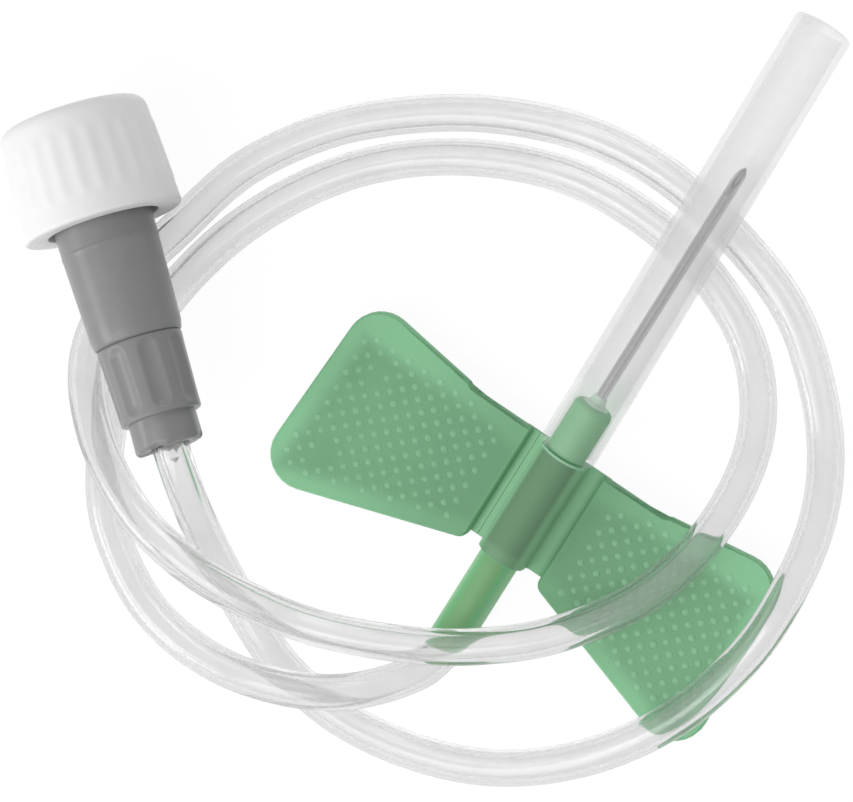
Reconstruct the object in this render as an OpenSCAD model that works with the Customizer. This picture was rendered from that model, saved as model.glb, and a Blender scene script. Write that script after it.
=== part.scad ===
// Winged infusion needle (butterfly needle) with its sheath, coiled tubing,
// female luer connector and screw cap, lying on a table as it was put down.
// Millimetres. +Z is up and z = 0 is the table. +Y runs from the hub to the open end
// of the sheath. The origin lies under the middle of the needle, wings and sheath.

/* [Cannula] */
// Outside diameter of the steel tube
needle_d = 0.8; // [0.5:0.05:1.1]
// Bore of the steel tube
needle_bore = 0.4; // [0.2:0.05:0.4]
// Length that shows in front of the bead
needle_reach = 19; // [12:0.5:25]
// Length held inside the hub
needle_held = 15.8; // [9:0.1:15.8]
// Length of the main ground face at the point
bevel_l = 2.2; // [1.2:0.1:3]
// Turn of the two small faces at the very tip, in degrees
lancet_turn = 32; // [20:1:40]

/* [Hub] */
// Outside diameter of the hub tube
hub_d = 2.9; // [2.7:0.1:3.0]
// Length of the hub in front of the wings
nose_reach = 4.15; // [2.5:0.05:5]
// Length of the hub behind the wings
stem_reach = 7.8; // [6:0.1:10]
// Rounding of the nose
nose_round = 0.45; // [0.1:0.05:0.6]
// Glue clearance around the steel tube
glue_gap = 0.02; // [0.01:0.01:0.05]
// Length of the bead that seals the needle to the nose
bead_l = 0.75; // [0.4:0.05:1]
// Diameter of the bead where it sits on the nose
bead_d = 1.9; // [1.5:0.1:2.0]

/* [Wings] */
// Distance over both wing tips
wing_span = 36; // [30:1:40]
// Thickness of a wing
wing_t = 0.9; // [0.7:0.05:1.2]
// Thickness of the thin web that folds
web_t = 0.45; // [0.3:0.05:0.5]
// Distance from the needle axis to the fold line
fold_x = 2.4; // [2.2:0.05:2.8]
// Distance from the needle axis to where the thick wing starts
blade_x = 3.0; // [2.9:0.1:3.6]
// Front edge of the sleeve, measured forward from the middle of the wings
sleeve_front = 4.05; // [3.5:0.05:4.5]
// Rear edge of the sleeve, measured backward from the same point
sleeve_rear = 4.5; // [4:0.1:5]
// Wall of the sleeve over the hub
sleeve_wall = 0.3; // [0.2:0.05:0.4]
// Clearance between hub and sleeve
sleeve_gap = 0.02; // [0.01:0.01:0.05]
// Front edge of a wing at its tip, forward
tip_front = 5.6; // [4.5:0.1:6.5]
// Rear edge of a wing at its tip, backward
tip_rear = 10.2; // [8:0.1:11]
// Radius of the two outer corners of a wing
tip_r = 2.5; // [1.5:0.1:3]
// Rounding of the inner rear corner of a wing
heel_r = 0.8; // [0.3:0.1:1]
// Chamfer along the edges of a wing
wing_chamfer = 0.15; // [0.05:0.05:0.25]

/* [Sheath] */
// Outside diameter of the clear sheath
sheath_d = 4.25; // [4:0.05:4.6]
// Wall of the sheath
sheath_wall = 0.48; // [0.3:0.02:0.5]
// Length of the sheath
sheath_l = 34.8; // [30:0.2:40]
// Gap between the sheath and the front of the wings
sheath_gap = 0.25; // [0.1:0.05:0.5]
// Slight turn of the sheath on the hub, in degrees to the left
sheath_yaw = 0.9; // [0:0.1:1]

/* [Tubing] */
// Outside diameter of the tubing
tube_d = 2.6; // [2.2:0.1:2.6]
// Depth of the tubing in the hub
stem_socket = 4; // [3:0.5:4]
// Depth of the tubing in the connector
neck_socket = 4; // [2:0.5:5]
// Clearance around the tubing in both sockets
socket_gap = 0.05; // [0.02:0.01:0.08]

/* [Connector] */
// Diameter of the barrel at the rim of the cap
barrel_d = 7.0; // [6.6:0.1:7.1]
// Diameter of the barrel at its shoulder
shoulder_d = 6.5; // [6.2:0.1:6.6]
// Length of the barrel from the rim of the cap to the shoulder
barrel_l = 8.5; // [7:0.1:11]
// Diameter of the fluted grip at the shoulder
grip_d = 6.1; // [5.8:0.1:6.2]
// Diameter of the fluted grip at its rear end
grip_end_d = 5.75; // [5.4:0.05:5.8]
// Length of the fluted grip
grip_l = 5.6; // [4:0.1:7]
// Number of flutes round the grip
flute_count = 8; // [6:1:10]
// Width of a flute
flute_w = 1.5; // [1:0.1:1.6]
// Depth of a flute
flute_depth = 0.28; // [0.1:0.02:0.35]
// Diameter of the neck
neck_d = 4.8; // [4.4:0.1:5.2]
// Length of the neck
neck_l = 2.1; // [1:0.1:3]
// Length of the barrel inside the cap
mouth_l = 6.6; // [6:0.1:6.8]
// Diameter over the two lugs at the mouth
lug_d = 7.8; // [7.4:0.1:7.8]
// Width of a lug
lug_w = 3.6; // [2:0.1:4]
// Length of a lug along the axis
lug_l = 1.1; // [0.8:0.1:1.5]
// Diameter of the tapered socket at the mouth
socket_d = 4.3; // [4.2:0.01:4.4]
// Taper of the socket, on the diameter for each millimetre of depth
socket_taper = 0.06; // [0.05:0.01:0.07]
// Depth of the tapered socket
socket_l = 9; // [8:0.1:10]
// Bore between the socket and the tubing
passage_d = 1.6; // [1:0.1:2]

/* [Cap] */
// Diameter of the cap at its open rim
cap_d = 11.4; // [10.8:0.1:12]
// Diameter of the cap at its closed end
cap_top_d = 10.6; // [10:0.1:10.8]
// Length of the cap
cap_l = 8.1; // [7.8:0.1:10]
// Rounding of the closed end
cap_round = 1.2; // [0.5:0.1:2]
// Bore of the cap, clear of the lugs
cap_bore = 8.1; // [8:0.05:8.4]
// Running gap between the cap and the mouth of the connector
cap_gap = 0.25; // [0.15:0.05:0.4]
// Number of grip ribs round the cap
rib_count = 25; // [16:1:30]
// Width of a rib
rib_w = 0.8; // [0.5:0.05:1]
// Height of a rib
rib_h = 0.12; // [0.05:0.01:0.15]
// Length of a rib
rib_l = 5.2; // [3:0.1:5.6]
// Clearance between the plug of the cap and the socket
plug_gap = 0.04; // [0.02:0.01:0.1]
// Length of the plug
plug_l = 6.8; // [4:0.1:7.5]

/* [Lie on the table] */
// Rise of the needle toward the sheath's open end, in degrees
needle_tilt = 6; // [5:0.5:7]
// Heading of the connector, counted from +X, in degrees
luer_heading = -38.2; // [-45:0.1:-30]
// Rise of the connector toward its tubing, in degrees
luer_slope = 6; // [4.5:0.1:7]
// Middle of the cap's rim across the table
luer_x = -35.4; // [-38:0.1:-33]
// Middle of the cap's rim along the table
luer_y = -13.6; // [-16:0.1:-11]

/* [Hidden] */
$fn = 64;
eps = 0.01;
fold_gap = 0.03;

// Places along the needle axis, forward of the middle of the wings
nose_v = sleeve_front + nose_reach;
stem_v = -(sleeve_rear + stem_reach);
tip_v = nose_v + bead_l + needle_reach;
held_v = nose_v - needle_held;
sheath_v = sleeve_front + sheath_gap;
mouth_v = sheath_v + sheath_l;

// The underside of the wings lies below the needle axis by this much
skin_z = hub_d / 2 + sleeve_gap + sleeve_wall;
sleeve_r = skin_z;

// Outline of a wing: the foot of the front edge, the small step and the tip
step_x = wing_span * 0.235;
step_y = 0.25;
tip_slant = 0.6;
heel_x = blade_x;
heel_y = sleeve_rear + 0.7;
corner_steps = 8;

// The rear corners of the wings rest on the table
wing_low_v = tip_rear - 1.05;
hub_z = wing_low_v * sin(needle_tilt) + skin_z * cos(needle_tilt);
hub_y = -((mouth_v + stem_v) * cos(needle_tilt)
    + (sheath_d - hub_d) / 2 * sin(needle_tilt)) / 2;

// Places along the connector, backward from the rim of the cap
grip_z = barrel_l;
neck_z = barrel_l + grip_l;
luer_end = neck_z + neck_l;
cap_foot = cap_l - cap_round;
cap_taper = atan((cap_d - cap_top_d) / 2 / cap_foot);
luer_z = cap_foot * sin(luer_slope) + (cap_top_d / 2 + rib_h) * cos(luer_slope);

// Directions and points on the two axes, in the frame of the table
luer_dir = [cos(luer_slope) * cos(luer_heading), cos(luer_slope) * sin(luer_heading),
    sin(luer_slope)];
function on_luer(z) = [luer_x, luer_y, luer_z] + z * luer_dir;
function on_needle(v) = [0, hub_y + v * cos(needle_tilt), hub_z + v * sin(needle_tilt)];

// Centreline of the tubing from the connector to the hub. The free points were chosen
// by hand; lay is the height at which the tubing lies on the table.
lay = tube_d / 2 + 0.05;
end_clear = 0.6;
free_route = [
    [-19.35, -26.6, 6.2], [-16.7, -28.95, 3.5], [-13.5, -31, 2], [-9, -33, 1.4],
    [-3.5, -33.75, lay], [2.5, -32.75, lay], [8, -30.25, 1.6], [12.75, -26, 2.2],
    [16.25, -20.5, 2.7], [18, -14.5, 3.2], [18.25, -9.5, 3.5], [17.25, -4, 2.3],
    [15, 0.5, lay], [11.5, 4.5, lay], [7, 7.75, lay], [0.75, 9.75, lay],
    [-5.25, 10.5, lay], [-11.25, 9.75, lay], [-17, 7.5, lay], [-22, 4.25, lay],
    [-26.5, 0, lay], [-30, -5.5, lay], [-31.7, -11.5, lay], [-32.95, -17.5, lay],
    [-32, -22.5, 2.5], [-28.5, -26.25, 4.3], [-23.45, -28.95, 5.7], [-18.65, -29.9, 6.4],
    [-13.95, -29.9, 6.15], [-8.2, -28.95, 5.1], [-2.25, -26.5, 4.4], [2.5, -23.5, 4.4],
    [6.75, -19.5, 4.1], [10.25, -13.75, 3.9], [11.5, -7.25, 3.6], [10.25, -1, 1.9],
    [6.5, 3.75, lay], [0.75, 6.5, lay], [-5.5, 7.25, lay], [-11.25, 6.5, lay],
    [-17, 4, lay], [-22, 0.25, lay], [-25.75, -4.5, lay], [-28.5, -10.5, lay],
    [-29.75, -17.5, lay], [-29, -24, lay], [-26.25, -29.75, lay], [-22.75, -33, 1.6],
    [-18.25, -35, 2.3], [-13.25, -35.25, 3.3], [-8.5, -34.1, 4.2], [-4.25, -32, 3.8],
    [-1.25, -29, 2.1]];
tube_route = concat([on_luer(luer_end - neck_socket), on_luer(luer_end + end_clear)],
    free_route, [on_needle(stem_v - end_clear), on_needle(stem_v + stem_socket)]);
tube_sides = 8;

function unit(p) = p / norm(p);

// Points of an arc about centre c in the plane of a profile
function arc(c, r, a0, a1, n = 8) =
    [for (i = [0:n]) c + r * [cos(a0 + (a1 - a0) * i / n), sin(a0 + (a1 - a0) * i / n)]];

// Corner b of an outline, rounded by r, as an arc from the side of a to the side of c
function rounded(a, b, c, r, n) =
    let (u = unit(a - b), v = unit(c - b), half = acos(u * v) / 2,
        m = b + unit(u + v) * r / sin(half), p = b + u * r / tan(half) - m,
        q = b + v * r / tan(half) - m, a0 = atan2(p[1], p[0]),
        turn = atan2(p[0] * q[1] - p[1] * q[0], p * q))
    [for (i = [0:n]) m + r * [cos(a0 + turn * i / n), sin(a0 + turn * i / n)]];

// Corner b moved inward by d, for an outline that runs anticlockwise
function inset(a, b, c, d) =
    let (u = unit(b - a), v = unit(c - b), nu = [-u[1], u[0]], nv = [-v[1], v[0]])
    b + d * (nu + nv) / (1 + nu * nv);

// The space of the needle: +Y is its axis, and the origin is the middle of the wings
module needle_space() {
    translate([0, hub_y, hub_z]) rotate([needle_tilt, 0, 0]) children();
}

// A child drawn along +Z is laid along the needle axis, starting at v
module along_needle(v) {
    translate([0, v, 0]) rotate([-90, 0, 0]) children();
}

// The space of the connector: +Z is its axis toward the tubing, z = 0 the cap's rim
module luer_space() {
    translate([luer_x, luer_y, luer_z]) rotate([0, 90 - luer_slope, luer_heading])
        children();
}

// Steel tube with a main bevel and two small side faces at its tip
module cannula() {
    color("silver") needle_space() difference() {
        along_needle(held_v) cylinder(d = needle_d, h = tip_v - held_v);
        along_needle(held_v - eps) cylinder(d = needle_bore, h = tip_v - held_v + 1);
        bevel_cut(tip_v, bevel_l, 0);
        for (side = [-1, 1])
            bevel_cut(tip_v + bevel_l * 0.02, bevel_l * 0.55, side * lancet_turn);
    }
}

// A flat cut that rises backward from the lower edge of the needle at v
module bevel_cut(v, length, turn) {
    rotate([0, turn, 0]) translate([-needle_d, v, -needle_d / 2])
        rotate([180 - atan(needle_d / length), 0, 0]) translate([0, 0, -3 * needle_d])
            cube([2 * needle_d, 3 * length, 3 * needle_d]);
}

// Cone of clear adhesive between the needle and the nose of the hub
module adhesive_bead() {
    r0 = needle_d / 2 + glue_gap;
    r1 = bead_d / 2;
    hollow = 0.35;
    color("honeydew") needle_space() along_needle(nose_v) rotate_extrude()
        polygon([[r0, 0], [r1, 0], [r0 + (r1 - r0) * hollow, bead_l * hollow],
            [r0 + 0.06, bead_l], [r0, bead_l]]);
}

// Soft green tube that holds the needle in front and the tubing behind
module needle_hub() {
    r = hub_d / 2;
    bore = needle_d / 2 + glue_gap;
    length = nose_v - stem_v;
    lead = 0.2;
    color("mediumseagreen") needle_space() along_needle(stem_v) difference() {
        rotate_extrude() polygon(concat([[0, 0], [r - lead / 2, 0], [r, lead]],
            arc([r - nose_round, length - nose_round], nose_round, 0, 90),
            [[0, length]]));
        translate([0, 0, -eps]) cylinder(r = bore, h = length + 1);
        translate([0, 0, -eps])
            cylinder(r = tube_d / 2 + socket_gap, h = stem_socket + eps);
    }
}

// Corners of the right wing, anticlockwise from the inner rear corner, with their radii
wing_corners = [[heel_x, -heel_y], [wing_span / 2 + tip_slant / 2, -tip_rear],
    [wing_span / 2 - tip_slant, tip_front], [step_x, sleeve_front + step_y],
    [step_x - 0.45, sleeve_front], [heel_x, sleeve_front]];
wing_radii = [heel_r, tip_r, tip_r, 0.25, 0.25, 0.2];

function wing_outline(d) =
    let (n = len(wing_corners),
        p = [for (i = [0:n - 1])
            inset(wing_corners[(i + n - 1) % n], wing_corners[i],
                wing_corners[(i + 1) % n], d)])
    [for (i = [0:n - 1]) each rounded(p[(i + n - 1) % n], p[i], p[(i + 1) % n],
        i == 4 ? wing_radii[i] + d : max(wing_radii[i] - d, 0.05), corner_steps)];

// The thick part of the right wing, with a chamfer along its upper and lower edges
module wing_blade() {
    full = wing_outline(0);
    small = wing_outline(wing_chamfer);
    n = len(full);
    levels = [[small, -skin_z], [full, wing_chamfer - skin_z],
        [full, wing_t - wing_chamfer - skin_z], [small, wing_t - skin_z]];
    points = [for (level = levels) for (q = level[0]) [q[0], q[1], level[1]]];
    walls = [for (k = [0:2]) for (i = [0:n - 1])
        [k * n + i, (k + 1) * n + i, (k + 1) * n + (i + 1) % n, k * n + (i + 1) % n]];
    polyhedron(points, concat([[for (i = [0:n - 1]) i]],
        [[for (i = [n - 1:-1:0]) 3 * n + i]], walls));
}

// The thin web from x0 to x1 on the right-hand side
module web(x0, x1) {
    translate([x0, -sleeve_rear, -skin_z])
        cube([x1 - x0, sleeve_rear + sleeve_front, web_t]);
}

// Sleeve round the hub, with the right wing moulded to it and the stub of the left web
module winged_sleeve() {
    length = sleeve_front + sleeve_rear;
    fillet = 0.3;
    color("mediumseagreen") needle_space() difference() {
        union() {
            along_needle(-sleeve_rear) cylinder(r = sleeve_r, h = length);
            translate([-sleeve_r, -sleeve_rear, -skin_z])
                cube([2 * sleeve_r, length, skin_z]);
            for (side = [0, 1]) mirror([side, 0, 0])
                translate([sleeve_r, sleeve_front, web_t - skin_z]) rotate([90, 0, 0])
                    linear_extrude(length) difference() {
                        translate([-eps, -eps]) square(fillet + eps);
                        translate([fillet, fillet]) circle(r = fillet, $fn = 32);
                    }
            web(0, blade_x + 0.5);
            mirror([1, 0, 0]) web(0, fold_x);
            wing_blade();
        }
        along_needle(-sleeve_rear - 1)
            cylinder(r = hub_d / 2 + sleeve_gap, h = length + 2);
    }
}

// The left wing folds up about the upper edge of its web
module left_wing() {
    color("mediumseagreen") needle_space() mirror([1, 0, 0]) {
        wing_blade();
        web(fold_x + fold_gap, blade_x + 0.5);
    }
}

// Clear tube, open in front, that slides over the nose of the hub
module needle_sheath() {
    ro = sheath_d / 2;
    ri = ro - sheath_wall;
    lip = sheath_wall * 0.4;
    color("whitesmoke", 0.4) needle_space() translate([0, sleeve_front, 0])
        rotate([0, 0, sheath_yaw]) along_needle(sheath_gap) rotate_extrude()
            polygon(concat(arc([ro - lip, lip], lip, -90, 0, 4),
                arc([ro - lip, sheath_l - lip], lip, 0, 90, 4),
                arc([ri + lip, sheath_l - lip], lip, 90, 180, 4),
                arc([ri + lip, lip], lip, 180, 270, 4)));
}

// Smooth curve through the route's points: q is the point at t between b and c
function spline(a, b, c, d, t) = 0.5 * ((2 * b) + (c - a) * t
    + (2 * a - 5 * b + 4 * c - d) * t * t + (3 * b - a - 3 * c + d) * t * t * t);

// Long stretches get a ring in their middle
function stretch_rings(a, b) = norm(b - a) > 6.1 ? 2 : 1;

function centreline(p) =
    let (n = len(p))
    concat([p[0]],
        [for (i = [1:n - 3]) let (k = stretch_rings(p[i], p[i + 1]))
            for (j = [0:k - 1]) spline(p[i - 1], p[i], p[i + 1], p[i + 2], j / k)],
        [p[n - 2], p[n - 1]]);

// A closed tube of radius r swept along the points of a centreline
module swept_tube(line, r, sides) {
    n = len(line);
    rings = [for (i = [0:n - 1])
        let (ahead = unit(line[min(i + 1, n - 1)] - line[max(i - 1, 0)]),
            across = unit(cross(ahead, [0, 0, 1])), over = cross(across, ahead))
        for (s = [0:sides - 1]) let (a = 360 * (s + 0.5) / sides)
            line[i] + r * (cos(a) * across + sin(a) * over)];
    walls = [for (i = [0:n - 2]) for (s = [0:sides - 1])
        let (s2 = (s + 1) % sides)
        each [[i * sides + s, (i + 1) * sides + s2, (i + 1) * sides + s],
            [i * sides + s, i * sides + s2, (i + 1) * sides + s2]]];
    polyhedron(rings, concat(walls, [[for (s = [sides - 1:-1:0]) s],
        [for (s = [0:sides - 1]) (n - 1) * sides + s]]));
}

module tubing() {
    color("gainsboro") swept_tube(centreline(tube_route), tube_d / 2, tube_sides);
}

// Grey connector: lugged mouth, tapered barrel, fluted grip and neck for the tubing
module luer_connector() {
    step_r = 0.15;
    rim_r = 0.35;
    flute_r = (flute_w * flute_w / 4 + flute_depth * flute_depth) / (2 * flute_depth);
    flute_start = 0.7;
    flute_end = 0.75;
    color("gray") luer_space() difference() {
        union() {
            rotate_extrude() polygon(concat(
                [[0, -mouth_l], [barrel_d / 2 - step_r, -mouth_l],
                    [barrel_d / 2, step_r - mouth_l], [barrel_d / 2, 0]],
                arc([shoulder_d / 2 - step_r, grip_z - step_r], step_r, 0, 90, 4),
                [[grip_d / 2, grip_z]],
                arc([grip_end_d / 2 - step_r, neck_z - step_r], step_r, 0, 90, 4),
                [[neck_d / 2, neck_z]],
                arc([neck_d / 2 - rim_r - 0.05, luer_end - rim_r], rim_r, 0, 90, 6),
                [[0, luer_end]]));
            intersection() {
                translate([0, 0, -mouth_l]) cylinder(d = lug_d, h = lug_l);
                translate([-lug_d / 2, -lug_w / 2, -mouth_l])
                    cube([lug_d, lug_w, lug_l]);
            }
        }
        translate([0, 0, -mouth_l]) cylinder(d1 = socket_d,
            d2 = socket_d - socket_taper * socket_l, h = socket_l);
        translate([0, 0, -mouth_l - 1]) cylinder(d = socket_d, h = 1 + eps / 10);
        translate([0, 0, -mouth_l]) cylinder(d = passage_d, h = mouth_l + luer_end);
        translate([0, 0, luer_end - neck_socket])
            cylinder(r = tube_d / 2 + socket_gap, h = neck_socket + 1);
        for (i = [0:flute_count - 1]) rotate([0, 0, (i + 0.5) * 360 / flute_count])
            translate([grip_end_d / 2 - flute_depth + flute_r, 0, grip_z + flute_start])
                cylinder(r = flute_r, h = grip_l - flute_start - flute_end);
    }
}

// White screw cap with grip ribs and a tapered plug that closes the socket
module luer_cap() {
    floor_z = -mouth_l - cap_gap;
    plug_z = floor_z + plug_l;
    plug_r = socket_d / 2 - plug_gap - socket_taper / 2 * (plug_z + mouth_l);
    lip = 0.25;
    rib_z = (cap_foot - rib_l) / 2;
    slope = (cap_d - cap_top_d) / 2 / cap_foot;
    color("white") luer_space() union() {
        rotate_extrude() polygon(concat(
            [[0, -cap_l]],
            arc([cap_top_d / 2 - cap_round, cap_round - cap_l], cap_round, -90, 0, 8),
            arc([cap_d / 2 - lip, -lip], lip, 0, 90, 4),
            [[cap_bore / 2 + lip, 0], [cap_bore / 2, -lip], [cap_bore / 2, floor_z],
                [plug_r + socket_taper / 2 * plug_l, floor_z], [plug_r, plug_z - 0.2],
                [plug_r - 0.2, plug_z], [0, plug_z]]));
        for (i = [0:rib_count - 1]) rotate([0, 0, i * 360 / rib_count])
            translate([cap_d / 2 - slope * rib_z - rib_w / 2 + rib_h, 0, -rib_z])
                rotate([0, 180 + cap_taper, 0])
                    cylinder(d = rib_w, h = rib_l, $fn = 24);
    }
}

cannula();
adhesive_bead();
needle_hub();
winged_sleeve();
left_wing();
needle_sheath();
tubing();
luer_connector();
luer_cap();
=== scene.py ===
import math
import bpy
from mathutils import Matrix, Vector


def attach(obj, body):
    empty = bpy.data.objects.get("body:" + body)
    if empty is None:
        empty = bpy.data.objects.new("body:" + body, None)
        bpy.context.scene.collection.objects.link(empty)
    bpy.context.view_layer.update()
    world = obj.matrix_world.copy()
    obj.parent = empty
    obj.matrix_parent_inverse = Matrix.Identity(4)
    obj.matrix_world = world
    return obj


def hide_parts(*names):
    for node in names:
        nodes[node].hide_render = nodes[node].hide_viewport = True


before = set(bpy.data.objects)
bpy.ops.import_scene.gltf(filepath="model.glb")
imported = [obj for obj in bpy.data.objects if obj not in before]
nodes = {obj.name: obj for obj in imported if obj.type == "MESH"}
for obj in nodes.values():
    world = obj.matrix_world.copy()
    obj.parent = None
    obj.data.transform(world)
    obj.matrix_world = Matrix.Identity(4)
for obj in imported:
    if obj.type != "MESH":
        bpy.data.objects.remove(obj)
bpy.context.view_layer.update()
bpy.ops.object.select_all(action="DESELECT")

MM = 0.001

# Where the needle and the connector lie. Along the needle, +Y is forward from the middle
# of the wings. Along the connector, +Z runs from the rim of the cap to the tubing.
needle_place = (Matrix.Translation(Vector((0, -13.36187, 2.71674)) * MM)
    @ Matrix.Rotation(math.radians(6), 4, "X"))
luer_place = (Matrix.Translation(Vector((-35.4, -13.6, 6.1116)) * MM)
    @ Matrix.Rotation(math.radians(-38.2), 4, "Z")
    @ Matrix.Rotation(math.radians(84), 4, "Y"))

# Sizes are in millimetres, as in the part's source.
hub_radius = 1.45
nose_end = 8.2
stem_end = -12.3
tube_radius = 1.3
bore_radius = 0.75
socket_depth = 4
shoulder = 8.5
grip_end = 14.1
neck_end = 16.2
mouth = -6.6
cap_length = 8.1


def on_needle(v):
    return needle_place @ Vector((0, v * MM, 0))


def on_luer(z):
    return luer_place @ Vector((0, 0, z * MM))


# ---- Camera ----

camera_distance = 0.6


def place_camera():
    """The photograph's viewing angle and frame."""
    target = Vector((-10.154, -11.638, 3.0)) * MM
    back = Vector((0.14385, 0.15011, 0.97815)).normalized()
    right = Vector((0.81978528, 0.53557629, -0.20275634)).normalized()
    turned = Matrix((right, back.cross(right), back)).transposed().to_4x4()
    bpy.ops.object.camera_add()
    camera = bpy.context.object
    camera.matrix_world = Matrix.Translation(target + back * camera_distance) @ turned
    camera.data.sensor_width = 36
    camera.data.lens = 365.9
    camera.data.clip_start = 0.05
    camera.data.clip_end = 10
    bpy.context.scene.camera = camera
    bpy.ops.object.select_all(action="DESELECT")


# ---- Tubing ----

steps_between = 24
straight_out = 0.6
lying = 1.35
tube_route = [
    (-19.35, -26.6, 6.2), (-16.7, -28.95, 3.5), (-13.5, -31, 2), (-9, -33, 1.4),
    (-3.5, -33.75, lying), (2.5, -32.75, lying), (8, -30.25, 1.6), (12.75, -26, 2.2),
    (16.25, -20.5, 2.7), (18, -14.5, 3.2), (18.25, -9.5, 3.5), (17.25, -4, 2.3),
    (15, 0.5, lying), (11.5, 4.5, lying), (7, 7.75, lying), (0.75, 9.75, lying),
    (-5.25, 10.5, lying), (-11.25, 9.75, lying), (-17, 7.5, lying), (-22, 4.25, lying),
    (-26.5, 0, lying), (-30, -5.5, lying), (-31.7, -11.5, lying),
    (-32.95, -17.5, lying),
    (-32, -22.5, 2.5), (-28.5, -26.25, 4.3), (-23.45, -28.95, 5.7), (-18.65, -29.9, 6.4),
    (-13.95, -29.9, 6.15), (-8.2, -28.95, 5.1), (-2.25, -26.5, 4.4), (2.5, -23.5, 4.4),
    (6.75, -19.5, 4.1), (10.25, -13.75, 3.9), (11.5, -7.25, 3.6), (10.25, -1, 1.9),
    (6.5, 3.75, lying), (0.75, 6.5, lying), (-5.5, 7.25, lying), (-11.25, 6.5, lying),
    (-17, 4, lying), (-22, 0.25, lying), (-25.75, -4.5, lying), (-28.5, -10.5, lying),
    (-29.75, -17.5, lying), (-29, -24, lying), (-26.25, -29.75, lying),
    (-22.75, -33, 1.6), (-18.25, -35, 2.3), (-13.25, -35.25, 3.3), (-8.5, -34.1, 4.2),
    (-4.25, -32, 3.8), (-1.25, -29, 2.1)]


def between(a, b, c, d, t):
    """A point on the smooth curve from b to c, whose neighbours are a and d."""
    return 0.5 * (2 * b + (c - a) * t + (2 * a - 5 * b + 4 * c - d) * t ** 2
        + (3 * b - a - 3 * c + d) * t ** 3)


def tube_line():
    """The tubing's centreline, from inside the stem of the hub to inside the connector."""
    points = ([on_luer(neck_end - socket_depth), on_luer(neck_end + straight_out)]
        + [Vector(p) * MM for p in tube_route]
        + [on_needle(stem_end - straight_out), on_needle(stem_end + socket_depth)])
    line = [points[0]]
    for i in range(1, len(points) - 2):
        line += [between(*points[i - 1:i + 3], step / steps_between)
            for step in range(steps_between)]
    return list(reversed(line + points[-2:]))


def finished(piece, name, angle):
    """Names a piece, shades it smooth but for its edges and lets go of it."""
    piece.name = name
    piece.data.name = name
    bpy.ops.object.select_all(action="DESELECT")
    piece.select_set(True)
    bpy.context.view_layer.objects.active = piece
    bpy.ops.object.shade_smooth_by_angle(angle=math.radians(angle))
    bpy.ops.object.select_all(action="DESELECT")
    return piece


def with_modifier(piece, kind, **settings):
    """Gives a piece a modifier and applies it."""
    bpy.ops.object.select_all(action="DESELECT")
    piece.select_set(True)
    bpy.context.view_layer.objects.active = piece
    modifier = piece.modifiers.new(kind.title(), kind)
    for key, value in settings.items():
        setattr(modifier, key, value)
    bpy.ops.object.modifier_apply(modifier=modifier.name)


def make_tubing():
    """Clear tube with its bore, bonded into the hub at one end, the connector at the other."""
    line = tube_line()
    curve = bpy.data.curves.new("tubing_line", "CURVE")
    curve.dimensions = "3D"
    spline = curve.splines.new("POLY")
    spline.points.add(len(line) - 1)
    for point, place in zip(spline.points, line):
        point.co = (*place, 1)
    curve.bevel_depth = tube_radius * MM
    curve.bevel_resolution = 12
    piece = bpy.data.objects.new("clear_tube", curve)
    bpy.context.scene.collection.objects.link(piece)
    piece.select_set(True)
    bpy.context.view_layer.objects.active = piece
    bpy.ops.object.convert(target="MESH")
    piece = bpy.context.object
    with_modifier(piece, "SOLIDIFY", thickness=(tube_radius - bore_radius) * MM, offset=-1)
    finished(piece, "clear_tube", 50)
    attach(piece, "needle_and_line")
    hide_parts("tubing")
    return piece, line


# ---- Pieces turned on an axis ----

def turned(profile, sides):
    """A closed solid turned round +Z from a profile of (radius, height) in millimetres."""
    bpy.ops.mesh.primitive_circle_add(vertices=sides, radius=profile[0][0] * MM)
    piece = bpy.context.object
    bpy.ops.object.mode_set(mode="EDIT")
    bpy.ops.mesh.select_mode(type="EDGE")
    bpy.ops.mesh.select_all(action="SELECT")
    bpy.ops.transform.translate(value=(0, 0, profile[0][1] * MM))
    for (r0, z0), (r1, z1) in zip(profile, profile[1:]):
        bpy.ops.mesh.extrude_edges_move(
            TRANSFORM_OT_translate={"value": (0, 0, (z1 - z0) * MM)})
        bpy.ops.transform.resize(value=(r1 / r0, r1 / r0, 1), center_override=(0, 0, 0))
    bpy.ops.mesh.edge_face_add()
    bpy.ops.mesh.select_all(action="DESELECT")
    bpy.ops.mesh.select_non_manifold()
    bpy.ops.mesh.edge_face_add()
    bpy.ops.mesh.select_all(action="SELECT")
    bpy.ops.mesh.normals_make_consistent(inside=False)
    bpy.ops.object.mode_set(mode="OBJECT")
    return piece


def rounded(radius, height, r, start, end, steps=5):
    """Points of a rounded edge about (radius, height), from one angle to another."""
    angles = [math.radians(start + (end - start) * i / steps) for i in range(steps + 1)]
    return [(radius + r * math.cos(a), height + r * math.sin(a)) for a in angles]


def even(r0, z0, r1, z1, steps):
    """Points evenly along a straight stretch of a profile, without its ends."""
    return [(r0 + (r1 - r0) * i / steps, z0 + (z1 - z0) * i / steps)
        for i in range(1, steps)]


def eased(x):
    """0 below 0, 1 above 1 and smooth between them."""
    x = min(1.0, max(0.0, x))
    return x * x * (3 - 2 * x)


def grip_radius(z):
    """Radius of the tapered grip at height z on the connector."""
    return 3.05 + (2.875 - 3.05) * (z - shoulder) / (grip_end - shoulder)


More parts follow.
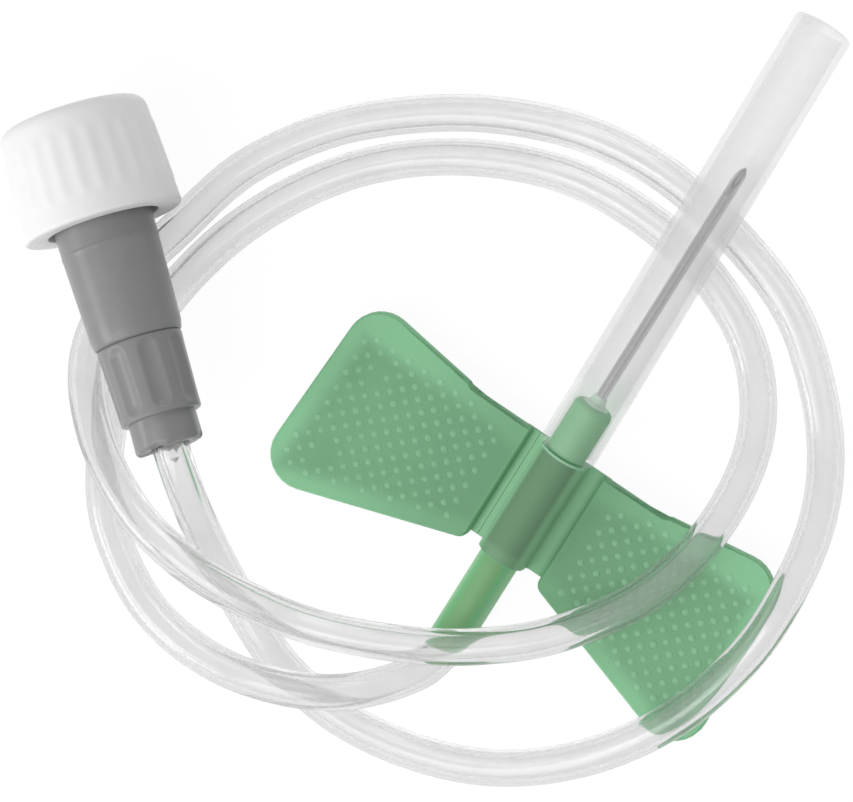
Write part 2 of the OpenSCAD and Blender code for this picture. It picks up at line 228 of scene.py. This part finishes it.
def make_connector():
    """Grey connector with rounded shoulders, round-ended flutes and a slightly uneven end."""
    profile = ([(1.0, mouth + 7.6), (1.88, mouth + 7.5), (2.14, mouth)]
        + rounded(3.35, mouth + 0.15, 0.15, -90, 0, 3)
        + [(3.5, 0), (3.48, 1.5), (3.48, 1.56), (3.51, 1.62), (3.51, 1.7), (3.47, 1.84),
            (3.467, 1.9)]
        + even(3.467, 1.9, 3.27, shoulder - 0.72, 6) + [(3.27, shoulder - 0.72)]
        + [(3.26, shoulder - 0.66), (3.17, shoulder - 0.28)]
        + rounded(3.165 - 0.24, shoulder - 0.24, 0.24, 15, 90, 6)
        + [(2.9, shoulder + 0.01)]
        + [(grip_radius(shoulder + 0.1) - 0.03, shoulder + 0.1)]
        + even(grip_radius(shoulder + 0.1), shoulder + 0.1,
            grip_radius(grip_end - 0.3), grip_end - 0.3, 44)
        + rounded(2.877 - 0.2, grip_end - 0.2, 0.2, 0, 90)
        + [(2.42, grip_end + 0.02), (2.4, grip_end + 0.2), (2.4, neck_end - 0.45)]
        + rounded(2.4 - 0.35, neck_end - 0.35, 0.35, 0, 90)
        + rounded(1.62, neck_end - 0.16, 0.16, 90, 180, 3)
        + [(1.36, neck_end - 0.45), (1.34, neck_end - 4.1), (1.0, neck_end - 4.2)])
    piece = turned(profile, 192)
    flute_start, flute_stop, half_width, depth = shoulder + 1.0, grip_end - 1.05, 0.72, 0.26
    flutes = 8
    uneven_from, uneven_share, uneven_height = neck_end - 0.9, 0.02, 0.05
    for vertex in piece.data.vertices:
        x, y, z = (c / MM for c in vertex.co)
        r = math.hypot(x, y)
        if z > uneven_from and r > 1.5:
            turn = math.atan2(y, x)
            wave = math.sin(3 * turn + 0.6) + 0.8 * math.sin(7 * turn) + 0.5 * math.sin(11 * turn)
            wave *= eased((z - uneven_from) / 0.6)
            vertex.co.x *= 1 + uneven_share * wave
            vertex.co.y *= 1 + uneven_share * wave
            vertex.co.z += uneven_height * wave * MM
        if shoulder + 0.1 < z < grip_end - 0.1 and r > 2.5:
            turn = math.degrees(math.atan2(y, x)) % (360 / flutes) - 180 / flutes
            aside = math.radians(turn) * r
            past = max(flute_start - z, z - flute_stop, 0)
            away = math.hypot(aside, past) / half_width
            if away < 1:
                k = 1 - depth * (1 - away ** 2) / r
                vertex.co.x *= k
                vertex.co.y *= k
    piece.data.transform(luer_place)
    return finished(piece, "grey_connector", 50)


def make_lugs():
    """The two lugs at the mouth that the cap's thread holds."""
    bpy.ops.mesh.primitive_cube_add(size=1)
    piece = bpy.context.object
    bpy.ops.object.mode_set(mode="EDIT")
    bpy.ops.transform.resize(value=(7.8 * MM, 3.6 * MM, 1.1 * MM))
    bpy.ops.transform.translate(value=(0, 0, (mouth + 0.57) * MM))
    bpy.ops.object.mode_set(mode="OBJECT")
    with_modifier(piece, "BEVEL", width=0.15 * MM, segments=3)
    bpy.ops.mesh.primitive_cylinder_add(vertices=64, radius=3.9 * MM, depth=3 * MM,
        location=(0, 0, mouth * MM))
    cutter = bpy.context.object
    with_modifier(piece, "BOOLEAN", operation="INTERSECT", object=cutter)
    bpy.data.objects.remove(cutter)
    bpy.ops.mesh.primitive_cylinder_add(vertices=64, radius=3.4 * MM, depth=3 * MM,
        location=(0, 0, mouth * MM))
    cutter = bpy.context.object
    with_modifier(piece, "BOOLEAN", operation="DIFFERENCE", object=cutter)
    bpy.data.objects.remove(cutter)
    piece.data.transform(luer_place)
    return finished(piece, "connector_lugs", 40)


def make_cap():
    """White cap with soft grip ribs, a smooth band at its rim and a plug inside."""
    floor = mouth - 0.25
    top_radius, rim_radius, rounding = 5.3, 5.7, 1.0
    taper = (rim_radius - top_radius) / (cap_length - 1.2)
    lip_radius, lip_rounding = 3.96, 0.12
    profile = ([(1.0, -cap_length)]
        + rounded(top_radius - rounding, -cap_length + rounding, rounding, -90, 0, 10)
        + even(top_radius, -cap_length + rounding, rim_radius - taper * 0.3, -0.3, 40)
        + rounded(rim_radius - 0.25 - 0.01, -0.25, 0.25, 0, 90, 4)
        + rounded(lip_radius + lip_rounding, -lip_rounding, lip_rounding, 90, 180, 4)
        + [(lip_radius, -1.0), (4.05, -1.3), (4.05, floor), (2.1, floor),
            (1.9, floor + 6.5), (1.75, floor + 6.75), (1.0, floor + 6.8)])
    piece = turned(profile, 300)
    low, high, ribs, rib_height = -6.3, -1.6, 25, 0.07
    for vertex in piece.data.vertices:
        x, y, z = (c / MM for c in vertex.co)
        r = math.hypot(x, y)
        if low - 0.5 < z < high + 0.5 and r > 4.6:
            fade = eased((z - low + 0.3) / 0.8) * eased((high + 0.3 - z) / 0.8)
            wave = 0.5 + 0.5 * math.cos(ribs * math.atan2(y, x))
            k = 1 + rib_height * fade * wave ** 1.2 / r
            vertex.co.x *= k
            vertex.co.y *= k
    piece.data.transform(luer_place)
    return finished(piece, "white_cap", 50)


def make_thread():
    """Two turns of thread inside the cap, which hold the lugs."""
    bpy.ops.mesh.primitive_circle_add(vertices=6, radius=0.22 * MM)
    piece = bpy.context.object
    bpy.ops.object.mode_set(mode="EDIT")
    bpy.ops.transform.rotate(value=math.radians(90), orient_axis="X",
        center_override=(0, 0, 0))
    bpy.ops.transform.translate(value=(3.97 * MM, 0, -5.1 * MM))
    bpy.ops.object.mode_set(mode="OBJECT")
    with_modifier(piece, "SCREW", angle=math.radians(720), screw_offset=4.0 * MM,
        steps=96, render_steps=96, use_normal_calculate=True)
    bpy.ops.object.mode_set(mode="EDIT")
    bpy.ops.mesh.select_all(action="DESELECT")
    bpy.ops.mesh.select_non_manifold()
    bpy.ops.mesh.edge_face_add()
    bpy.ops.mesh.select_all(action="SELECT")
    bpy.ops.mesh.normals_make_consistent(inside=False)
    bpy.ops.object.mode_set(mode="OBJECT")
    piece.data.transform(luer_place)
    return finished(piece, "cap_thread", 60)


def make_hub():
    """Soft green tube: the needle is glued into its nose, the tubing into its stem."""
    length = nose_end - stem_end
    profile = ([(0.3, 4.2), (1.28, 4.05), (1.3, 0.25)] + rounded(1.36, 0.1, 0.06, 180, 360)
        + [(hub_radius, 0.3), (hub_radius, length - 0.5)]
        + rounded(hub_radius - 0.45, length - 0.45, 0.45, 0, 75, 8)
        + [(0.8, length - 0.01), (0.3, length)])
    piece = turned(profile, 64)
    piece.data.transform(needle_place @ Matrix.Translation((0, stem_end * MM, 0))
        @ Matrix.Rotation(math.radians(-90), 4, "X"))
    return finished(piece, "green_hub_tube", 50)


# ---- Dots on the wings ----

# On a wing, u counts outward from the needle and v forward along it.
dot_radius = 0.26
dot_height = 0.05
dot_across = 0.667
dot_along = 1.27
wing_front = 4.05
wing_underside = -1.77
wing_thickness = 0.9


def wing_edges(u, v):
    """How far u, v lies inside a wing's rear edge, slanting front edge and tip.

    Each row holds a point on that edge and the edge's inward direction.
    """
    return ((u - 3) * 0.3106 + (v + 5.2) * 0.9505,
        (u - 8.46) * 0.1439 - (v - 4.3) * 0.9896,
        (u - 17.4) * -0.9984 - (v - 5.6) * 0.0569)


def inside_field(u, v):
    """Whether a dot stands at u, v: inside the edges and both round corners of the tip."""
    rear, front, tip = wing_edges(u, v)
    return (u > 4.2 and rear > 1.25 and min(front, wing_front - v) > 0.85 and tip > 1.15
        and not (u > 14.9 and v > 2.4 and math.hypot(u - 14.4, v - 2.4) > 1.9)
        and not (u > 15 and v < -6.8 and math.hypot(u - 15, v + 6.8) > 2.0))


def make_dots(side, name):
    """Small round dots that stand up from the upper face of one wing."""
    bpy.ops.mesh.primitive_uv_sphere_add(segments=10, ring_count=6, radius=1)
    dot = bpy.context.object
    bpy.ops.object.mode_set(mode="EDIT")
    bpy.ops.mesh.select_all(action="SELECT")
    bpy.ops.mesh.bisect(plane_co=(0, 0, -0.05), plane_no=(0, 0, 1), use_fill=True,
        clear_inner=True)
    bpy.ops.mesh.select_all(action="SELECT")
    bpy.ops.transform.resize(value=(dot_radius * MM, dot_radius * MM, dot_height * MM),
        center_override=(0, 0, 0))
    bpy.ops.object.mode_set(mode="OBJECT")
    corners = [v.co.copy() for v in dot.data.vertices]
    faces = [list(p.vertices) for p in dot.data.polygons]
    wing_top = wing_underside + wing_thickness
    points, polygons = [], []
    for column in range(5, 28):
        for row in range(-10, 7):
            u = column * dot_across + 0.15
            v = (row + (column % 2) / 2) * dot_along
            if not inside_field(u, v):
                continue
            # Two smooth spots near the tip of the left wing.
            if side < 0 and min(math.hypot((u - 14.1) / 0.6, (v - 1.8) / 1.3),
                    math.hypot((u - 14.6) / 0.6, (v + 5.6) / 1.3)) < 1:
                continue
            start = len(points)
            points += [c + Vector((side * u, v, wing_top)) * MM for c in corners]
            polygons += [[start + i for i in face] for face in faces]
    mesh = bpy.data.meshes.new(name)
    mesh.from_pydata([tuple(p) for p in points], [], polygons)
    mesh.transform(needle_place)
    bpy.data.objects.remove(dot)
    piece = bpy.data.objects.new(name, mesh)
    bpy.context.scene.collection.objects.link(piece)
    return finished(piece, name, 60)


# ---- Materials ----

class Amount:
    """A number in a material, worked with as a plain number is."""

    def __init__(self, finish, socket):
        self.finish = finish
        self.socket = socket

    def combined(self, operation, *others):
        values = dict(enumerate((self, *others)))
        return self.finish.node("ShaderNodeMath", {"operation": operation}, values)

    def __add__(self, other):
        return self.combined("ADD", other)

    __radd__ = __add__

    def __mul__(self, other):
        return self.combined("MULTIPLY", other)

    __rmul__ = __mul__

    def __sub__(self, other):
        return self.combined("SUBTRACT", other)

    def __rsub__(self, other):
        return self * -1 + other

    def __abs__(self):
        return self.combined("ABSOLUTE")

    def least(self, other):
        return self.combined("MINIMUM", other)

    def most(self, other):
        return self.combined("MAXIMUM", other)

    def eased(self, low, high):
        """0 at low, 1 at high and smooth between them."""
        return self.finish.node("ShaderNodeMapRange", {"interpolation_type": "SMOOTHSTEP"},
            {"Value": self, "From Min": low, "From Max": high})


class Finish:
    """A material and what its nodes are made with."""

    def __init__(self, name):
        self.material = bpy.data.materials.new(name)
        self.material.use_nodes = True
        self.tree = self.material.node_tree
        self.tree.nodes.clear()

    def node(self, kind, settings=None, values=None, output=0):
        made = self.tree.nodes.new(kind)
        for key, value in (settings or {}).items():
            setattr(made, key, value)
        for key, value in (values or {}).items():
            if isinstance(value, Amount):
                value = value.socket
            if isinstance(value, bpy.types.NodeSocket):
                self.tree.links.new(value, made.inputs[key])
            else:
                made.inputs[key].default_value = value
        result = made.outputs[output]
        return Amount(self, result) if result.type == "VALUE" else result

    def place(self, matrix=None):
        """A point's place in millimetres, in the table's frame or in that of a piece."""
        matrix = matrix or Matrix.Identity(4)
        point = self.node("ShaderNodeTexCoord", output="Object")
        return self.node("ShaderNodeMapping", {"vector_type": "TEXTURE"}, {
            "Vector": point, "Location": matrix.to_translation(),
            "Rotation": matrix.to_euler(), "Scale": (MM, MM, MM)})

    def axes(self, place):
        split = self.tree.nodes.new("ShaderNodeSeparateXYZ")
        self.tree.links.new(place, split.inputs[0])
        return [Amount(self, s) for s in split.outputs]

    def stretched(self, place, scale):
        return self.node("ShaderNodeMapping", {"vector_type": "POINT"},
            {"Vector": place, "Scale": scale})

    def noise(self, place, scale, detail=3.0):
        return self.node("ShaderNodeTexNoise", None,
            {"Vector": place, "Scale": scale, "Detail": detail})

    def colour(self, share, first, second):
        """A colour between two others."""
        mix = self.tree.nodes.new("ShaderNodeMix")
        mix.data_type = "RGBA"
        for socket, value in ((mix.inputs[0], share), (mix.inputs[6], first),
                (mix.inputs[7], second)):
            if isinstance(value, Amount):
                value = value.socket
            if isinstance(value, bpy.types.NodeSocket):
                self.tree.links.new(value, socket)
            elif isinstance(value, tuple):
                socket.default_value = (*value, 1)
            else:
                socket.default_value = value
        return mix.outputs[2]

    def bump(self, height, distance, strength):
        return self.node("ShaderNodeBump", None,
            {"Height": height, "Distance": distance * MM, "Strength": strength})

    def out(self, surface, volume=None):
        end = self.tree.nodes.new("ShaderNodeOutputMaterial")
        self.tree.links.new(surface, end.inputs["Surface"])
        if volume:
            self.tree.links.new(volume, end.inputs["Volume"])
        return self.material

    def lets_light_through(self, surface, shade):
        """Shadow rays pass straight through, so that a clear piece casts a pale shadow."""
        shadow = self.node("ShaderNodeLightPath", output="Is Shadow Ray")
        clear = self.node("ShaderNodeBsdfTransparent", None, {"Color": (*shade, 1)})
        return self.node("ShaderNodeMixShader", None, {0: shadow, 1: surface, 2: clear})


def clear_vinyl():
    f = Finish("clear vinyl tubing")
    place = f.place()
    cloud = f.noise(place, 0.35, 3)
    body = f.node("ShaderNodeBsdfPrincipled", None, {
        "Base Color": f.colour(cloud, (0.86, 0.86, 0.86), (0.93, 0.93, 0.93)),
        "Roughness": 0.09 + 0.05 * f.noise(place, 0.8),
        "Transmission Weight": 0.96, "IOR": 1.4,
        "Normal": f.bump(f.noise(place, 0.5, 2), 0.002, 0.2)})
    thick = f.node("ShaderNodeVolumeAbsorption", None,
        {"Color": (0.5, 0.5, 0.5, 1), "Density": 165.0})
    return f.out(f.lets_light_through(body, (0.86, 0.86, 0.86)), thick)


def milky_sheath():
    f = Finish("milky clear sheath")
    place = f.place(needle_place)
    _, v, w = f.axes(place)
    flow = f.noise(f.stretched(place, (1, 0.12, 1)), 1.6, 3)
    # Clearer round the nose of the hub, hazier along the needle and in the lower half.
    haze = 0.07 + 0.1 * v.eased(8.4, 9.6) + 0.04 * flow
    body = f.node("ShaderNodeBsdfPrincipled", None, {
        "Base Color": f.colour(flow, (0.88, 0.88, 0.88), (0.93, 0.93, 0.93)),
        "Roughness": 0.3 + 0.1 * flow, "Specular IOR Level": 0.4,
        "Alpha": haze + 0.3 * (1 - w.eased(-1.6, 0.4)),
        "Normal": f.bump(f.noise(place, 0.6, 2), 0.002, 0.3)})
    return f.out(f.lets_light_through(body, (0.9, 0.9, 0.9)))


def wing_green(f, u, v, cloud):
    """Darker near the needle, with a lighter border round the dotted field: painted light that
    the thinner border lets through.
    """
    rear, front, tip = wing_edges(u, v)
    front = front.least(wing_front - v)
    middle = rear.least(front).least(tip).eased(0.5, 2.0) * u.eased(2.6, 3.6)
    # Painted light: the border round the dotted field is lighter than the field.
    green = f.colour(middle * (0.8 + 0.3 * cloud), (0.24, 0.55, 0.3), (0.168, 0.38, 0.205))
    return f.colour(u.eased(3.0, 15.0) * 0.6 + 0.4, (0.12, 0.28, 0.15), green)


def green_wing():
    f = Finish("translucent green wing")
    place = f.place(needle_place)
    x, v, _ = f.axes(place)
    u = abs(x)
    cloud = f.noise(place, 0.5, 4)
    green = wing_green(f, u, v, cloud)
    # Painted light: the thin web on both sides of the sleeve is painted lighter, for the light it
    # lets through and against the shade beside the sleeve.
    web_painted_light = 1 - u.eased(2.5, 3.0)
    green = f.colour(web_painted_light * 0.8, green, (0.275, 0.54, 0.32))
    # The hub inside the sleeve darkens its middle, painted shade for the light that the thicker
    # plastic holds back, up to a pale rim in front that is a painted highlight.
    hub = (1 - u.eased(1.2, 1.6)) * (0.75 + 0.25 * v.eased(-4.0, -3.4))
    green = f.colour(hub, green, (0.13, 0.26, 0.145))
    # Painted highlight: a pale rim along the front edge of the sleeve.
    green = f.colour(v.eased(3.85, 4.0) * (1 - u.eased(1.7, 1.9)), green, (0.35, 0.62, 0.42))
    body = f.node("ShaderNodeBsdfPrincipled", None, {
        "Base Color": green, "Roughness": 0.5 + 0.14 * cloud,
        "Specular IOR Level": 0.35,
        "Normal": f.bump(f.noise(place, 5, 3), 0.012, 0.5)})
    return f.out(body)


def green_dot():
    f = Finish("green grip dots")
    place = f.place(needle_place)
    x, v, _ = f.axes(place)
    cloud = f.noise(place, 0.5, 4)
    green = wing_green(f, abs(x), v, cloud)
    # Painted highlight: the dots are painted lighter than the wing round them, for the light on
    # their raised tops.
    body = f.node("ShaderNodeBsdfPrincipled", None, {
        "Base Color": f.colour(0.12 + 0.16 * cloud, green, (0.42, 0.78, 0.5)),
        "Roughness": 0.5 + 0.14 * cloud, "Specular IOR Level": 0.35,
        "Normal": f.bump(f.noise(place, 5, 3), 0.01, 0.5)})
    return f.out(body)


def green_hub():
    f = Finish("soft green hub")
    place = f.place(needle_place)
    u, v, _ = f.axes(place)
    cloud = f.noise(f.stretched(place, (1, 0.3, 1)), 1.2, 3)
    green = f.colour(cloud, (0.16, 0.5, 0.22), (0.21, 0.55, 0.27))
    # Painted light: the stem is painted paler at its sides.
    green = f.colour(abs(u).eased(0.9, 1.4) * (1 - v.eased(-5.0, -4.0)), green,
        (0.36, 0.68, 0.38))
    # The stem is darker along the tubing inside it; its paler sides, above, are painted light.
    core = (1 - abs(u).eased(0.5, 1.0)) * (1 - v.eased(-5.0, -4.0)) * (0.7 + 0.5 * cloud)
    green = f.colour(core * 0.8, green, (0.2, 0.4, 0.17))
    body = f.node("ShaderNodeBsdfPrincipled", None, {
        "Base Color": green,
        "Roughness": 0.42 + 0.12 * cloud, "Specular IOR Level": 0.35,
        "Transmission Weight": 0.15, "IOR": 1.45,
        "Normal": f.bump(f.noise(place, 1, 2), 0.004, 0.3)})
    return f.out(f.lets_light_through(body, (0.4, 0.75, 0.5)))


def pale_bead():
    f = Finish("pale adhesive")
    place = f.place(needle_place)
    cloud = f.noise(place, 2.5, 3)
    body = f.node("ShaderNodeBsdfPrincipled", None, {
        "Base Color": f.colour(cloud, (0.62, 0.82, 0.68), (0.78, 0.9, 0.8)),
        "Roughness": 0.18 + 0.1 * cloud, "Transmission Weight": 0.5, "IOR": 1.45,
        "Normal": f.bump(cloud, 0.05, 0.5)})
    return f.out(f.lets_light_through(body, (0.8, 0.9, 0.82)))


def needle_steel():
    f = Finish("drawn needle steel")
    place = f.place(needle_place)
    u = f.axes(place)[0]
    drawn = f.noise(f.stretched(place, (14, 0.25, 14)), 1.5, 4)
    # Painted shade and reflection: the needle is painted dark along its middle, top and bottom,
    # and pale grey at its sides. The drawn grain varies the dark middle.
    painted_dark_middle = f.colour(drawn, (0.11, 0.11, 0.11), (0.2, 0.2, 0.2))
    body = f.node("ShaderNodeBsdfPrincipled", None, {
        "Base Color": f.colour(abs(u).eased(0.12, 0.38), painted_dark_middle, (0.42, 0.42, 0.42)),
        "Metallic": 1.0, "Roughness": 0.24 + 0.16 * drawn,
        "Normal": f.bump(drawn, 0.004, 0.5)})
    return f.out(body)


def grey_plastic():
    f = Finish("grey moulded plastic")
    place = f.place(luer_place)
    grain = f.noise(place, 7, 3)
    broad = f.noise(place, 0.6, 3)
    body = f.node("ShaderNodeBsdfPrincipled", None, {
        "Base Color": f.colour(broad, (0.24, 0.24, 0.24), (0.275, 0.275, 0.275)),
        "Roughness": 0.25 + 0.1 * broad, "Specular IOR Level": 0.28,
        "Normal": f.bump(grain, 0.003, 0.4)})
    return f.out(body)


def white_plastic():
    f = Finish("white moulded plastic")
    place = f.place(luer_place)
    grain = f.noise(place, 6, 3)
    broad = f.noise(place, 0.5, 3)
    body = f.node("ShaderNodeBsdfPrincipled", None, {
        "Base Color": f.colour(broad, (0.84, 0.84, 0.84), (0.9, 0.9, 0.9)),
        "Roughness": 0.42 + 0.12 * broad, "Specular IOR Level": 0.4,
        "Normal": f.bump(grain, 0.01, 0.5)})
    return f.out(body)


def dress(piece, material):
    piece.data.materials.clear()
    piece.data.materials.append(material)


# ---- Floor, backdrop and lamps ----

def make_floor():
    """White where it is seen, also in and through the object, and matt to its shadow."""
    bpy.ops.mesh.primitive_plane_add(size=8, location=(0, 0, -0.00002))
    floor = bpy.context.object
    floor.name = "floor"
    f = Finish("pale floor")
    seen = [f.node("ShaderNodeLightPath", output=name)
        for name in ("Is Camera Ray", "Is Glossy Ray", "Is Transmission Ray")]
    matt = f.node("ShaderNodeBsdfDiffuse", None, {"Color": (0.9, 0.9, 0.9, 1)})
    white = f.node("ShaderNodeEmission", None, {"Color": (1, 1, 1, 1), "Strength": 1.04})
    share = seen[0].most(seen[1]).most(seen[2]) * 0.9
    dress(floor, f.out(f.node("ShaderNodeMixShader", None, {0: share, 1: matt, 2: white})))
    bpy.ops.object.select_all(action="DESELECT")


def make_world():
    """Soft light from all round, and plain white where it is seen."""
    world = bpy.data.worlds.new("studio")
    bpy.context.scene.world = world
    world.use_nodes = True
    tree = world.node_tree
    tree.nodes.clear()
    path = tree.nodes.new("ShaderNodeLightPath")
    share = path.outputs["Is Camera Ray"]
    for name in ("Is Glossy Ray", "Is Transmission Ray"):
        most = tree.nodes.new("ShaderNodeMath")
        most.operation = "MAXIMUM"
        tree.links.new(share, most.inputs[0])
        tree.links.new(path.outputs[name], most.inputs[1])
        share = most.outputs[0]
    soft = tree.nodes.new("ShaderNodeBackground")
    soft.inputs["Color"].default_value = (1, 1, 1, 1)
    soft.inputs["Strength"].default_value = 0.46
    white = tree.nodes.new("ShaderNodeBackground")
    white.inputs["Color"].default_value = (1, 1, 1, 1)
    white.inputs["Strength"].default_value = 1.0
    mix = tree.nodes.new("ShaderNodeMixShader")
    end = tree.nodes.new("ShaderNodeOutputWorld")
    tree.links.new(share, mix.inputs[0])
    tree.links.new(soft.outputs[0], mix.inputs[1])
    tree.links.new(white.outputs[0], mix.inputs[2])
    tree.links.new(mix.outputs[0], end.inputs["Surface"])


def hang_lamp(name, place, width, height, power):
    """A soft box that faces the middle of the object, in metres and watts."""
    middle = Vector((-8, -12, 2)) * MM
    place = Vector(place)
    bpy.ops.object.light_add(type="AREA")
    lamp = bpy.context.object
    lamp.name = name
    lamp.location = place
    lamp.rotation_mode = "QUATERNION"
    lamp.rotation_quaternion = (place - middle).to_track_quat("Z", "Y")
    lamp.data.shape = "RECTANGLE"
    lamp.data.size = width
    lamp.data.size_y = height
    lamp.data.energy = power
    lamp.visible_camera = False


# ---- The object and its studio ----

place_camera()
tube, line = make_tubing()
dress(tube, clear_vinyl())

grey = grey_plastic()
connector = make_connector()
lugs = make_lugs()
for piece in (connector, lugs):
    dress(piece, grey)
    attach(piece, "needle_and_line")
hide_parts("luer_connector")

white = white_plastic()
cap = make_cap()
thread = make_thread()
for piece in (cap, thread):
    dress(piece, white)
    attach(piece, "cap")
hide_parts("luer_cap")

hub = make_hub()
dress(hub, green_hub())
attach(hub, "needle_and_line")
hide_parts("needle_hub")

wing = green_wing()
dress(nodes["winged_sleeve"], wing)
dress(nodes["left_wing"], wing)
dots = green_dot()
for side, name, body in ((1, "right_wing_dots", "needle_and_line"),
        (-1, "left_wing_dots", "left_wing")):
    piece = make_dots(side, name)
    dress(piece, dots)
    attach(piece, body)

dress(nodes["cannula"], needle_steel())
dress(nodes["adhesive_bead"], pale_bead())
dress(nodes["needle_sheath"], milky_sheath())

make_floor()
make_world()
hang_lamp("near left box", (-0.031, -0.235, 0.357), 0.26, 0.26, 0.62)
hang_lamp("low left box", (-0.224, -0.30, 0.18), 0.16, 0.16, 0.48)
hang_lamp("far box", (-0.12, 0.34, 0.2), 0.12, 0.07, 0.2)
bpy.context.scene.view_settings.view_transform = "Standard"
